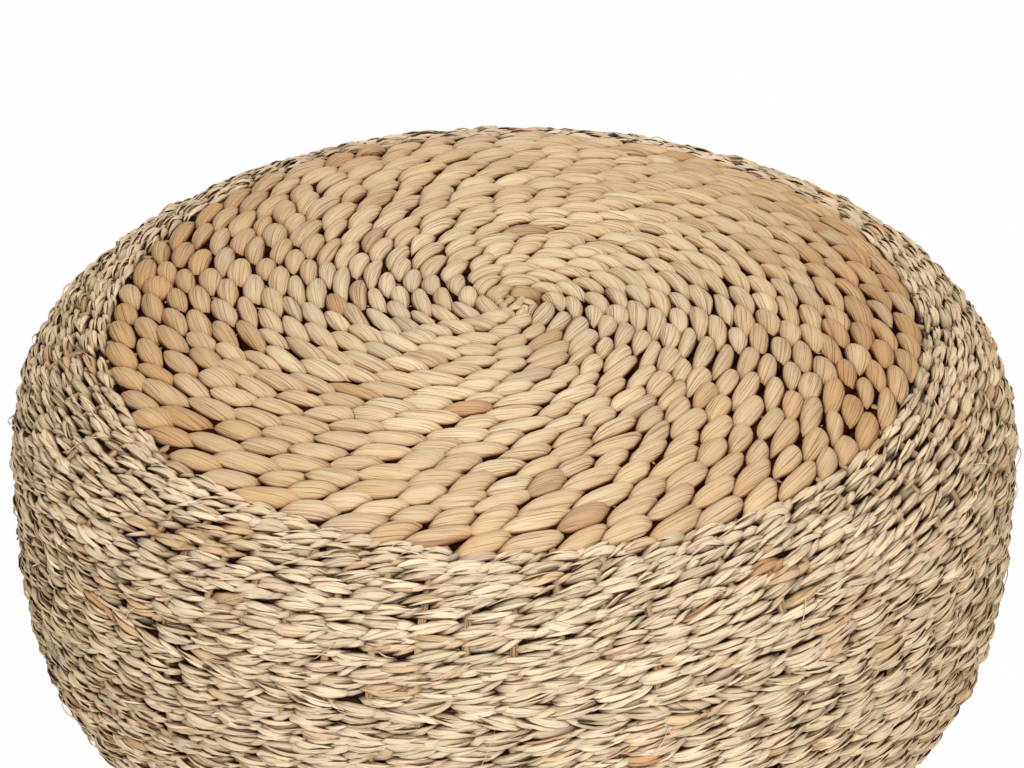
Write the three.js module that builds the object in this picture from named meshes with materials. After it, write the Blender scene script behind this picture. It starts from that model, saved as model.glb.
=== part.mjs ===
// A round woven floor stool, or pouf: a water hyacinth spiral on top, a seagrass weave round
// the side and under the foot, both twined over warp cords, and a stuffed cloth bag inside.
// Millimetres, +Z up. The origin is the middle of the underside, on the floor.

import * as THREE from 'three';

// Outer form: a superellipse above the belly and another below it, pressed flat on the floor
const bellyRadius = 280;
const topRise = 106;
const topRoundness = 4;
const bottomDepth = 168;
const bottomRoundness = 3.5;
const baseFlattening = 7;
const rimRadius = 224;

// Clearances
const seatGap = 0.3;
const turnGap = 0.75;

// Hyacinth spiral
const coilWidth = 11.4;
const coilHeight = 9;
const coilTailWidth = 2.5;
const coilStepsPerTurn = 24;
const knotRadius = 5.6;
const knotSides = 12;
const knotRings = 6;

// Warp cords: long ones that cross in the middle, then hairpins that are let in between them
const warpWidth = 5.2;
const warpThickness = 5;
const crossingPitch = 6.2;
const underCrossingCount = 5;
const overCrossingCount = 4;
const innerHairpinShare = 0.49;
const outerHairpinShare = 0.72;
const topStationShares = [0.18, innerHairpinShare, outerHairpinShare, 0.88, 1];
const bendSetback = 25;
const bendSag = 4;
const bendShoulderShare = 0.8;
const bendMiddleShare = 0.3;
const sideStationCount = 6;
const warpTailLength = 30;

// Seagrass weave
const weaveThickness = 6;
const weaveSides = 48;
const weaveOutlineSteps = 16;

// Stuffed bag
const clothThickness = 1;
const waddingThickness = 12;
const foamSlabCount = 3;
const bagSides = 30;

const bellyHeight = bottomDepth - baseFlattening;
const weaveFacetSag = bellyRadius * (1 - Math.cos(Math.PI / weaveSides));

// A point of the outer form at an angle from the belly, with its outward normal and the
// tangent that leads towards the crown
function formStation(angle) {
  const upper = angle >= 0;
  const reach = upper ? topRise : bottomDepth;
  const roundness = upper ? topRoundness : bottomRoundness;
  const radialShare = Math.pow(Math.cos(angle), 2 / roundness);
  const heightShare = Math.pow(Math.abs(Math.sin(angle)), 2 / roundness);
  const sign = upper ? 1 : -1;
  const normal = new THREE.Vector2(
    Math.pow(radialShare, roundness - 1) / bellyRadius,
    (sign * Math.pow(heightShare, roundness - 1)) / reach,
  ).normalize();
  return {
    point: new THREE.Vector2(bellyRadius * radialShare, bellyHeight + sign * reach * heightShare),
    normal,
    tangent: new THREE.Vector2(-normal.y, normal.x),
  };
}

function topAngleAt(radius) {
  return Math.acos(Math.pow(radius / bellyRadius, topRoundness / 2));
}

function bottomAngleAt(height) {
  return -Math.asin(Math.pow((bellyHeight - height) / bottomDepth, bottomRoundness / 2));
}

const rimAngle = topAngleAt(rimRadius);
const footAngle = bottomAngleAt(0);

// Stations along a meridian, shared by every layer so that the layers lie parallel
const topStations = topStationShares.map((share) => formStation(topAngleAt(share * rimRadius)));
const sideStations = [];
for (let step = 1; step <= sideStationCount; step += 1) {
  sideStations.push(formStation(rimAngle + ((footAngle - rimAngle) * step) / sideStationCount));
}
const rimStation = topStations[topStations.length - 1];
const footStation = sideStations[sideStations.length - 1];
const crownStation = formStation(Math.PI / 2);
const footRadius = footStation.point.x;

// A point of the meridian at a depth below the outer form, shifted towards the crown
function below(station, depth, shift = 0) {
  return new THREE.Vector2(
    station.point.x - depth * station.normal.x + shift * station.tangent.x,
    station.point.y - depth * station.normal.y + shift * station.tangent.y,
  );
}

// Depths of the layers below the outer form. On top the chords of the spiral dip a little.
const rimSlope = rimStation.normal.x / rimStation.normal.y;
const coilChordDip = rimRadius * (1 - Math.cos(Math.PI / coilStepsPerTurn)) * rimSlope;
const topWarpDepth = coilHeight + coilChordDip + seatGap;
const underWarpDepth = topWarpDepth + warpThickness + seatGap;
const sideWarpDepth = weaveThickness + weaveFacetSag + seatGap;
const bagDepthCrown = underWarpDepth + warpThickness + seatGap;
const bagDepthRim = topWarpDepth + warpThickness + seatGap;
const bagDepthSide = sideWarpDepth + warpThickness + seatGap;

// A closed body through rings of points that all have the same count
function loft(rings) {
  const size = rings[0].length;
  const positions = rings.flat().flatMap((point) => [point.x, point.y, point.z]);
  const indices = [];
  for (let ring = 0; ring + 1 < rings.length; ring += 1) {
    for (let side = 0; side < size; side += 1) {
      const next = (side + 1) % size;
      const here = ring * size;
      const there = here + size;
      indices.push(here + side, here + next, there + side);
      indices.push(here + next, there + next, there + side);
    }
  }
  const last = (rings.length - 1) * size;
  for (let side = 1; side + 1 < size; side += 1) {
    indices.push(0, side + 1, side);
    indices.push(last, last + side, last + side + 1);
  }
  return outward(bodyFrom(positions, indices));
}

function bodyFrom(positions, indices) {
  const geometry = new THREE.BufferGeometry();
  geometry.setAttribute('position', new THREE.Float32BufferAttribute(positions, 3));
  geometry.setIndex(indices);
  return geometry;
}

// Turns the faces round where they point into the body
function outward(geometry) {
  const position = geometry.attributes.position;
  const index = geometry.index.array;
  const corners = [new THREE.Vector3(), new THREE.Vector3(), new THREE.Vector3()];
  let volume = 0;
  for (let face = 0; face < index.length; face += 3) {
    corners.forEach((corner, number) => corner.fromBufferAttribute(position, index[face + number]));
    volume += corners[0].dot(corners[1].cross(corners[2]));
  }
  if (volume < 0) {
    geometry.setIndex(Array.from(index).reverse());
  }
  geometry.computeVertexNormals();
  return geometry;
}

// A body of revolution about Z from an outline of (radius, height) points
function revolve(outline, sides) {
  const geometry = new THREE.LatheGeometry(outline, sides);
  geometry.rotateX(Math.PI / 2);
  return outward(geometry);
}

// A shell of revolution between two lines of the meridian
function revolveShell(outerLine, innerLine, sides) {
  const outline = [...outerLine, ...[...innerLine].reverse()];
  outline.push(outline[0].clone());
  return revolve(outline, sides);
}

// A point of the meridian carried round to a plan angle
function inPlan(meridianPoint, planAngle) {
  return new THREE.Vector3(
    meridianPoint.x * Math.cos(planAngle),
    meridianPoint.x * Math.sin(planAngle),
    meridianPoint.y,
  );
}

function normalInPlan(station, planAngle) {
  return inPlan(station.normal, planAngle);
}

// Hyacinth spiral: one unbroken tube of flattened hexagons that winds out from the knot. Its
// outer edge stops at the rim, so that the last turn runs out to a thin tail along it.
const coilPitch = coilWidth + turnGap;
const coilStartRadius = knotRadius + seatGap + coilWidth / 2;
const coilEdgeRadius = rimRadius * Math.cos(Math.PI / weaveSides) - seatGap;

function coilSection(step) {
  const planAngle = (2 * Math.PI * step) / coilStepsPerTurn;
  const lineRadius = coilStartRadius + (coilPitch * step) / coilStepsPerTurn;
  const innerEdge = lineRadius - coilWidth / 2;
  const outerEdge = Math.min(lineRadius + coilWidth / 2, coilEdgeRadius);
  const width = outerEdge - innerEdge;
  const station = formStation(topAngleAt((innerEdge + outerEdge) / 2));
  const corner = (across, depth) => inPlan(below(station, depth, -across), planAngle);
  return {
    width,
    ring: [
      corner(width / 2, coilHeight / 2),
      corner(width / 4, 0),
      corner(-width / 4, 0),
      corner(-width / 2, coilHeight / 2),
      corner(-width / 4, coilHeight),
      corner(width / 4, coilHeight),
    ],
  };
}

function coilRings() {
  const rings = [];
  let section = coilSection(0);
  while (section.width > coilTailWidth) {
    rings.push(section.ring);
    section = coilSection(rings.length);
  }
  return rings;
}

// The least distance from each turn's outer ridge to the next turn's inner ridge
function leastTurnGap(rings) {
  const outerRidge = 0;
  const innerRidge = 3;
  const samples = 4;
  let least = Infinity;
  for (let step = 1; step + coilStepsPerTurn + 1 < rings.length; step += 1) {
    for (let sample = 0; sample < samples; sample += 1) {
      const share = sample / samples;
      const point = rings[step][outerRidge].clone().lerp(rings[step + 1][outerRidge], share);
      for (let offset = -1; offset <= 0; offset += 1) {
        const from = rings[step + coilStepsPerTurn + offset][innerRidge];
        const to = rings[step + coilStepsPerTurn + offset + 1][innerRidge];
        const nearest = new THREE.Line3(from, to).closestPointToPoint(point, true, new THREE.Vector3());
        least = Math.min(least, nearest.distanceTo(point));
      }
    }
  }
  return least;
}

// The small knot that starts the spiral, set in its eye on the crossing of the long cords
function knotGeometry() {
  const geometry = new THREE.SphereGeometry(1, knotSides, knotRings);
  geometry.rotateX(Math.PI / 2);
  geometry.scale(knotRadius, knotRadius, coilHeight / 2);
  geometry.translate(0, 0, crownStation.point.y - coilHeight / 2);
  return geometry;
}

// A warp cord is a line of places, each with the direction that faces out of the stool
function place(meridianPoint, normal, planAngle) {
  return { centre: inPlan(meridianPoint, planAngle), facing: normal };
}

function warpGeometry(places) {
  const rings = places.map(({ centre, facing }, number) => {
    const before = places[Math.max(number - 1, 0)].centre;
    const after = places[Math.min(number + 1, places.length - 1)].centre;
    const along = after.clone().sub(before).normalize();
    const across = facing.clone().cross(along).normalize().multiplyScalar(warpWidth / 2);
    const out = along.clone().cross(across).normalize().multiplyScalar(-warpThickness / 2);
    const point = (offset) => centre.clone().add(offset);
    return [point(out), point(across), point(out.clone().negate()), point(across.clone().negate())];
  });
  return loft(rings);
}

// One arm of a warp cord, from a station of the top out to the rim, down the side and in over
// the edge of the base panel, which its tail holds
function warpArm(planAngle, firstStation) {
  const places = [];
  for (const station of topStations.slice(firstStation)) {
    const middle = below(station, topWarpDepth + warpThickness / 2);
    places.push(place(middle, normalInPlan(station, planAngle), planAngle));
  }
  for (const station of sideStations) {
    const middle = below(station, sideWarpDepth + warpThickness / 2);
    places.push(place(middle, normalInPlan(station, planAngle), planAngle));
  }
  const tailEnd = below(footStation, sideWarpDepth + warpThickness / 2);
  tailEnd.x -= warpTailLength;
  places.push(place(tailEnd, new THREE.Vector3(0, 0, -1), planAngle));
  return places;
}

function mirroredCord(armPlaces, middlePlaces, otherArmPlaces) {
  return [...armPlaces.slice().reverse(), ...middlePlaces, ...otherArmPlaces];
}

// Where a long cord crosses the other group: straight, at the group's own depth
function crossingPlaces(offset, halfLength, depth, turn) {
  const height = crownStation.point.y - depth - warpThickness / 2;
  const facing = new THREE.Vector3(0, 0, 1);
  return [halfLength, -halfLength].map((reach) => {
    const centre = new THREE.Vector3(reach, offset, height);
    centre.applyAxisAngle(facing, turn);
    return { centre, facing };
  });
}

const longCordCount = underCrossingCount + overCrossingCount;
const longArmStep = Math.PI / longCordCount;

function longCord(group, number) {
  const under = group === 'under';
  const count = under ? underCrossingCount : overCrossingCount;
  const crossedCount = under ? overCrossingCount : underCrossingCount;
  const rank = number - (count - 1) / 2;
  const turn = under ? 0 : Math.PI / 2;
  const halfLength = ((crossedCount - 1) * crossingPitch) / 2 + warpWidth / 2 + warpThickness / 2;
  const depth = under ? underWarpDepth : topWarpDepth;
  const middle = crossingPlaces(rank * crossingPitch, halfLength, depth, turn);
  const nearArm = warpArm(turn + rank * longArmStep, 0);
  const farArm = warpArm(turn + Math.PI - rank * longArmStep, 0);
  return warpGeometry(mirroredCord(nearArm, middle, farArm));
}

// A hairpin hooks under the arm that it straddles and gives one new arm on each side of it
function hairpin(planAngle, halfAngle, startShare) {
  const stationNumber = topStationShares.indexOf(startShare);
  const station = topStations[stationNumber];
  const bendRadius = station.point.x - bendSetback;
  const facing = new THREE.Vector3(0, 0, 1);
  const bendPlace = (share, radius) => {
    const bendStation = formStation(topAngleAt(radius));
    const middle = below(bendStation, underWarpDepth + warpThickness / 2);
    return place(middle, facing, planAngle + share * halfAngle);
  };
  const bend = [
    bendPlace(bendShoulderShare, bendRadius),
    bendPlace(bendMiddleShare, bendRadius - bendSag),
    bendPlace(-bendMiddleShare, bendRadius - bendSag),
    bendPlace(-bendShoulderShare, bendRadius),
  ];
  const leftArm = warpArm(planAngle + halfAngle, stationNumber);
  const rightArm = warpArm(planAngle - halfAngle, stationNumber);
  return warpGeometry(mirroredCord(leftArm, bend, rightArm));
}

// Seagrass weave round the side: smooth outside, and inside in step with the warp cords
function sideWeaveGeometry() {
  const outerLine = [];
  for (let step = 0; step <= weaveOutlineSteps; step += 1) {
    const angle = rimAngle + ((footAngle - rimAngle) * step) / weaveOutlineSteps;
    outerLine.push(below(formStation(angle), 0));
  }
  const innerLine = [rimStation, ...sideStations].map((station) => below(station, weaveThickness));
  return revolveShell(outerLine, innerLine, weaveSides);
}

// Seagrass panel that closes the underside, flat on the floor, with its edge along the foot
function baseWeaveGeometry() {
  const lowerEdge = new THREE.Vector2(footRadius - 2 * seatGap, 0);
  const upperEdge = lowerEdge.clone().addScaledVector(footStation.normal, -weaveThickness);
  const outline = [
    new THREE.Vector2(0, 0),
    lowerEdge,
    upperEdge,
    new THREE.Vector2(0, upperEdge.y),
  ];
  return revolve(outline, weaveSides);
}

// Stations of the cloth bag with the depth of its outer face at each
function bagTopLine(extraDepth) {
  const line = [below(crownStation, bagDepthCrown + extraDepth)];
  topStations.forEach((station, number) => {
    const raised = topStationShares[number] > outerHairpinShare;
    const depth = raised ? bagDepthRim : bagDepthCrown;
    const shift = station === rimStation ? seatGap : 0;
    line.push(below(station, depth + extraDepth, shift));
  });
  return line;
}

function bagSideLine(extraDepth) {
  const start = below(rimStation, bagDepthRim + extraDepth);
  const rest = sideStations.map((station) => below(station, bagDepthSide + extraDepth));
  return [start, ...rest];
}

function clothTopGeometry() {
  const outline = [...bagTopLine(0), ...bagTopLine(clothThickness).reverse()];
  return revolve(outline, bagSides);
}

function clothSideGeometry() {
  return revolveShell(bagSideLine(0), bagSideLine(clothThickness), bagSides);
}

const clothBaseHeight = below(footStation, bagDepthSide).y;

function clothBaseGeometry() {
  const lowerEdge = below(footStation, bagDepthSide);
  lowerEdge.x -= 2 * seatGap;
  const upperEdge = lowerEdge.clone().addScaledVector(footStation.normal, -clothThickness);
  const outline = [
    new THREE.Vector2(0, clothBaseHeight),
    lowerEdge,
    upperEdge,
    new THREE.Vector2(0, upperEdge.y),
  ];
  return revolve(outline, bagSides);
}

// Wadding between the cloth and the foam: a ring round the side and a domed pad on top
const waddingDepth = bagDepthSide + clothThickness + seatGap;
const foamDepth = waddingDepth + waddingThickness + seatGap;
const waddingTopStation = sideStations[0];
const waddingBottomStation = sideStations[sideStations.length - 2];
const foamTopHeight = below(waddingTopStation, foamDepth).y;

function waddingSideGeometry() {
  const stations = sideStations.slice(0, -1);
  const outerLine = stations.map((station) => below(station, waddingDepth));
  const innerLine = stations.map((station) => below(station, waddingDepth + waddingThickness));
  return revolveShell(outerLine, innerLine, bagSides);
}

function waddingTopGeometry() {
  const lowerEdge = below(waddingTopStation, foamDepth, seatGap);
  lowerEdge.y += seatGap;
  const upperLine = bagTopLine(clothThickness + seatGap);
  const outline = [
    new THREE.Vector2(0, lowerEdge.y),
    lowerEdge,
    below(waddingTopStation, waddingDepth, seatGap),
    ...upperLine.reverse(),
  ];
  return revolve(outline, bagSides);
}

// Foam slabs, cut from one outline that keeps clear of the wadding and of the cloth below it
function foamOutline() {
  const bottom = below(footStation, bagDepthSide + clothThickness + seatGap);
  const middle = sideStations.slice(0, -1).reverse().map((station) => below(station, foamDepth));
  return [bottom, ...middle];
}

function radiusAtHeight(outline, height) {
  const upper = Math.max(outline.findIndex((point) => point.y >= height), 1);
  const from = outline[upper - 1];
  const to = outline[upper];
  return from.x + ((to.x - from.x) * (height - from.y)) / (to.y - from.y);
}

function foamSlabGeometry(number) {
  const line = foamOutline();
  const bottomHeight = line[0].y + seatGap;
  const slabPitch = (foamTopHeight - bottomHeight) / foamSlabCount;
  const low = bottomHeight + number * slabPitch;
  const high = low + slabPitch - seatGap;
  const between = line.filter((point) => point.y > low && point.y < high);
  const outline = [
    new THREE.Vector2(0, low),
    new THREE.Vector2(radiusAtHeight(line, low), low),
    ...between,
    new THREE.Vector2(radiusAtHeight(line, high), high),
    new THREE.Vector2(0, high),
  ];
  return revolve(outline, bagSides);
}

// Materials
function material(color, roughness) {
  return new THREE.MeshStandardMaterial({ color, roughness, metalness: 0 });
}

const hyacinthMaterial = () => material(new THREE.Color(0.8, 0.66, 0.45), 0.6);
const seagrassMaterial = () => material(new THREE.Color(0.74, 0.66, 0.52), 0.7);
const warpMaterial = () => material(new THREE.Color(0.6, 0.49, 0.35), 0.75);
const clothMaterial = () => material(new THREE.Color(0.56, 0.54, 0.62), 0.9);
const waddingMaterial = () => material(new THREE.Color(0.92, 0.92, 0.9), 0.95);
const foamMaterial = () => material(new THREE.Color(0.9, 0.85, 0.66), 0.9);

const stool = new THREE.Group();

function add(name, geometry, pieceMaterial) {
  const mesh = new THREE.Mesh(geometry, pieceMaterial);
  mesh.name = name;
  stool.add(mesh);
}

// Hyacinth top
const hyacinthRings = coilRings();
add('hyacinth_coil', loft(hyacinthRings), hyacinthMaterial());
add('centre_knot', knotGeometry(), hyacinthMaterial());
console.log(`hyacinth spiral: ${(hyacinthRings.length / coilStepsPerTurn).toFixed(1)} turns`);
console.log(`least gap between its turns: ${leastTurnGap(hyacinthRings).toFixed(2)} mm`);

// Warp cords
for (let number = 0; number < underCrossingCount; number += 1) {
  add(`warp_long_under_${number + 1}`, longCord('under', number), warpMaterial());
}
for (let number = 0; number < overCrossingCount; number += 1) {
  add(`warp_long_over_${number + 1}`, longCord('over', number), warpMaterial());
}
for (let number = 0; number < longCordCount; number += 1) {
  const planAngle = 2 * number * longArmStep;
  const geometry = hairpin(planAngle, longArmStep / 2, innerHairpinShare);
  add(`warp_inner_hairpin_${number + 1}`, geometry, warpMaterial());
}
for (let number = 0; number < 2 * longCordCount; number += 1) {
  const planAngle = number * longArmStep;
  const geometry = hairpin(planAngle, longArmStep / 4, outerHairpinShare);
  add(`warp_outer_hairpin_${number + 1}`, geometry, warpMaterial());
}

// Seagrass side and base
add('side_weave', sideWeaveGeometry(), seagrassMaterial());
add('base_weave', baseWeaveGeometry(), seagrassMaterial());

// Stuffed bag
add('bag_top_cloth', clothTopGeometry(), clothMaterial());
add('bag_side_cloth', clothSideGeometry(), clothMaterial());
add('bag_base_cloth', clothBaseGeometry(), clothMaterial());
add('wadding_top', waddingTopGeometry(), waddingMaterial());
add('wadding_side', waddingSideGeometry(), waddingMaterial());
for (let number = 0; number < foamSlabCount; number += 1) {
  add(`foam_slab_${number + 1}`, foamSlabGeometry(number), foamMaterial());
}

export default stool;
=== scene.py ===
import math

import bpy
import numpy as np
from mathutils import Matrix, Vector


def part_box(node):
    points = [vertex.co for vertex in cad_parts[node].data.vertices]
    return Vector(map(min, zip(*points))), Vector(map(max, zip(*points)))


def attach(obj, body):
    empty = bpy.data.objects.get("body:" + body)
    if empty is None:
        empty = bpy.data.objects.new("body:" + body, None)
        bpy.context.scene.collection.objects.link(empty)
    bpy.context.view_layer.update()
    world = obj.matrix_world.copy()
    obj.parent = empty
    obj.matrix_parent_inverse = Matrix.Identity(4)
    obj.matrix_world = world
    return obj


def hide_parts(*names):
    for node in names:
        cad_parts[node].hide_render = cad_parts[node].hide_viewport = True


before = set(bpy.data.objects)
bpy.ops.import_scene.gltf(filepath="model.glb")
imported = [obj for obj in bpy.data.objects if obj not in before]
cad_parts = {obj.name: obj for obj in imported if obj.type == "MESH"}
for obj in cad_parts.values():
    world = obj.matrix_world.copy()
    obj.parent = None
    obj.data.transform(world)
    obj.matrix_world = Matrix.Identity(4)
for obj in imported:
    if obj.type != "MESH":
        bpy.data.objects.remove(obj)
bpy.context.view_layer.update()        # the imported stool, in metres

print("frame loaded:", len(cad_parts), "nodes")

# camera
cameraView = {
    "place": (0.0, -1.6075, 1.1970),
    "lens": 119.0,
    "sensor": 36.0,
    "pitchDown": 31.52,      # degrees below level
    "turn": 0.04,            # degrees, to the left
}


def addObject(name, data):
    made = bpy.data.objects.new(name, data)
    bpy.context.scene.collection.objects.link(made)
    return made


def makeCamera():
    data = bpy.data.cameras.new("photoCamera")
    data.sensor_width = cameraView["sensor"]
    data.lens = cameraView["lens"]
    data.clip_start = 0.05
    data.clip_end = 60
    camera = addObject("photoCamera", data)
    camera.location = cameraView["place"]
    camera.rotation_euler = (math.radians(90 - cameraView["pitchDown"]), 0, math.radians(cameraView["turn"]))
    bpy.context.scene.camera = camera


makeCamera()
print("camera placed")

# light and floor
studio = {
    "worldStrength": 0.20, "white": (1, 1, 1, 1),
    # name, place, size and power
    "lamps": [
        ("keyLamp", (0.25, -2.1, 1.95), 0.8, 67),
        ("fillLamp", (0.1, -0.4, 2.8), 1.6, 14),
        ("backLamp", (0.1, 2.0, 1.9), 1.4, 24),
        ("sideLamp", (-1.5, -1.6, 0.6), 1.0, 7),
    ],
    "aim": (0, 0, 0.14),     # the lamps point at the middle of the stool
    "floorSize": 24, "floorTone": (0.86, 0.86, 0.86, 1),
    "floorWhite": 0.97,      # share of the floor's tone that stays white in shadow
}


def addNode(tree, kind, **values):
    node = tree.nodes.new(kind)
    for name, value in values.items():
        if hasattr(node, name):
            setattr(node, name, value)
        else:
            node.inputs[name.replace("_", " ")].default_value = value
    return node


def combined(tree, operation, outputs):
    total = outputs[0]
    for output in outputs[1:]:
        node = addNode(tree, "ShaderNodeMath", operation=operation)
        tree.links.new(total, node.inputs[0])
        tree.links.new(output, node.inputs[1])
        total = node.outputs[0]
    return total


def seenDirectly(tree):
    path = tree.nodes.new("ShaderNodeLightPath")
    return combined(tree, "MAXIMUM", [
        path.outputs["Is Camera Ray"], path.outputs["Is Glossy Ray"], path.outputs["Is Transmission Ray"]])


def scaled(tree, value, factor):
    times = addNode(tree, "ShaderNodeMath", operation="MULTIPLY", use_clamp=True)
    times.inputs[1].default_value = factor
    tree.links.new(value, times.inputs[0])
    return times.outputs[0]


def mixWhite(tree, share, plain, white, outputKind):
    # plain lights the stool, and white is what the camera sees of it
    mix = tree.nodes.new("ShaderNodeMixShader")
    out = tree.nodes.new(outputKind)
    tree.links.new(share, mix.inputs[0])
    tree.links.new(plain.outputs[0], mix.inputs[1])
    tree.links.new(white.outputs[0], mix.inputs[2])
    tree.links.new(mix.outputs[0], out.inputs[0])


def makeWorld():
    world = bpy.data.worlds.new("studioWorld")
    bpy.context.scene.world = world
    world.use_nodes = True
    tree = world.node_tree
    tree.nodes.clear()
    lit = addNode(tree, "ShaderNodeBackground", Strength=studio["worldStrength"], Color=studio["white"])
    seen = addNode(tree, "ShaderNodeBackground", Color=studio["white"])
    mixWhite(tree, seenDirectly(tree), lit, seen, "ShaderNodeOutputWorld")


def makeLamp(name, place, size, power):
    data = bpy.data.lights.new(name, "AREA")
    data.shape = "DISK"
    data.size = size
    data.energy = power
    lamp = addObject(name, data)
    lamp.location = place
    aim = Vector(studio["aim"]) - Vector(place)
    lamp.rotation_euler = aim.to_track_quat("-Z", "Y").to_euler()


def deselectAll():
    if bpy.context.mode != "OBJECT":
        bpy.ops.object.mode_set(mode="OBJECT")
    bpy.ops.object.select_all(action="DESELECT")


def makeFloor():
    deselectAll()
    bpy.ops.mesh.primitive_plane_add(size=studio["floorSize"])
    floor = bpy.context.active_object
    floor.name = "studioFloor"
    material = bpy.data.materials.new("paleFloor")
    material.use_nodes = True
    tree = material.node_tree
    tree.nodes.clear()
    diffuse = addNode(tree, "ShaderNodeBsdfDiffuse", Color=studio["floorTone"])
    white = addNode(tree, "ShaderNodeEmission", Color=studio["white"])
    share = scaled(tree, seenDirectly(tree), studio["floorWhite"])
    mixWhite(tree, share, diffuse, white, "ShaderNodeOutputMaterial")
    floor.data.materials.append(material)


makeWorld()
for lamp in studio["lamps"]:
    makeLamp(*lamp)
makeFloor()
bpy.context.scene.view_settings.view_transform = "Standard"
print("studio ready")

# form of the stool
form = {
    "bellyRadius": 0.280, "bellyHeight": 0.161,
    "topRise": 0.106, "topRoundness": 4.0,
    "bottomDepth": 0.168, "bottomRoundness": 3.5,
    "rimRadius": 0.224,
    "shoulder": 0.02,        # from where the way over the edge begins, to the rim
    "baseLift": 0.0014,      # so that the fullest strands of the base just touch the floor
    "baseEye": 0.0005,
    # places along the outline: over the crown, down the wall and across the base
    "crownShare": 0.9, "crownStations": 400, "wallStations": 1200, "baseStations": 200,
}


def meridian(angle):
    upper = angle >= 0
    reach = np.where(upper, form["topRise"], form["bottomDepth"])
    roundness = np.where(upper, form["topRoundness"], form["bottomRoundness"])
    sign = np.where(upper, 1.0, -1.0)
    across = np.cos(angle) ** (2 / roundness)
    along = np.abs(np.sin(angle)) ** (2 / roundness)
    radius = form["bellyRadius"] * across
    height = form["bellyHeight"] + sign * reach * along
    outR = across ** (roundness - 1) / form["bellyRadius"]
    outZ = sign * along ** (roundness - 1) / reach
    size = np.hypot(outR, outZ)
    return radius, height, outR / size, outZ / size


def makeSkin(radius, height, outR, outZ):
    run = np.concatenate([[0], np.cumsum(np.hypot(np.diff(radius), np.diff(height)))])
    return {"run": run, "radius": radius, "height": height, "outR": outR, "outZ": outZ}


footAngle = -math.asin((form["bellyHeight"] / form["bottomDepth"]) ** (form["bottomRoundness"] / 2))
innerRadii = np.linspace(0, form["crownShare"] * form["bellyRadius"], form["crownStations"])
innerAngles = np.arccos((innerRadii / form["bellyRadius"]) ** (form["topRoundness"] / 2))
outerAngles = np.linspace(innerAngles[-1], footAngle, form["wallStations"])[1:]
skin = makeSkin(*meridian(np.concatenate([innerAngles, outerAngles])))
crown = {key: values[:form["crownStations"]] for key, values in skin.items()}
wall = {key: values[form["crownStations"]:] for key, values in skin.items()}
footRadius = float(skin["radius"][-1])
footRun = float(skin["run"][-1])
baseRadii = np.linspace(footRadius, form["baseEye"], form["baseStations"])
baseSkin = makeSkin(
    baseRadii, np.full_like(baseRadii, form["baseLift"]), np.zeros_like(baseRadii), -np.ones_like(baseRadii))


def onSkin(surface, run, turn, depth):
    radius, height, outR, outZ = (
        np.interp(run, surface["run"], surface[key]) for key in ("radius", "height", "outR", "outZ"))
    size = np.hypot(outR, outZ)
    flat = radius - depth * outR / size
    return np.stack([flat * np.cos(turn), flat * np.sin(turn), height - depth * outZ / size], -1)


def runAtRadius(radius):
    return np.interp(radius, crown["radius"], crown["run"])


def wallRadiusAt(height, inset):
    # the radius of the wall at a height, drawn in by inset along its normal
    radius = wall["radius"] - inset * wall["outR"]
    level = wall["height"] - inset * wall["outZ"]
    return np.interp(height, level[::-1], radius[::-1])


rimRun = float(runAtRadius(form["rimRadius"]))


def overRim(run, span):
    # 0 on the crown and 1 on the side
    return np.clip((run - rimRun + form["shoulder"]) / span, 0, 1)


print("form: side run %.1f mm, foot radius %.1f mm" % (1000 * (footRun - rimRun), 1000 * footRadius))


# shared making
def faceOutward():
    bpy.ops.mesh.select_all(action="SELECT")
    bpy.ops.mesh.normals_make_consistent()
    bpy.ops.object.mode_set(mode="OBJECT")


def strandBlank(sides, cuts):
    deselectAll()
    bpy.ops.mesh.primitive_cylinder_add(
        vertices=sides, radius=1, depth=2, end_fill_type="NGON", rotation=(0, math.pi / 2, 0))
    blank = bpy.context.active_object
    bpy.ops.object.transform_apply(location=False)
    mesh = blank.data
    bpy.ops.object.mode_set(mode="EDIT")
    bpy.ops.mesh.select_mode(type="EDGE")
    bpy.ops.mesh.select_all(action="DESELECT")
    bpy.ops.object.mode_set(mode="OBJECT")
    for edge in mesh.edges:
        ends = [mesh.vertices[i].co.x for i in edge.vertices]
        edge.select = abs(ends[0] - ends[1]) > 1
    bpy.ops.object.mode_set(mode="EDIT")
    bpy.ops.mesh.subdivide(number_cuts=cuts)
    faceOutward()
    points = np.array([v.co[:] for v in mesh.vertices])
    faces = [list(f.vertices) for f in mesh.polygons]
    bpy.data.objects.remove(blank)
    bpy.data.meshes.remove(mesh)
    return points, faces


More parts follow.
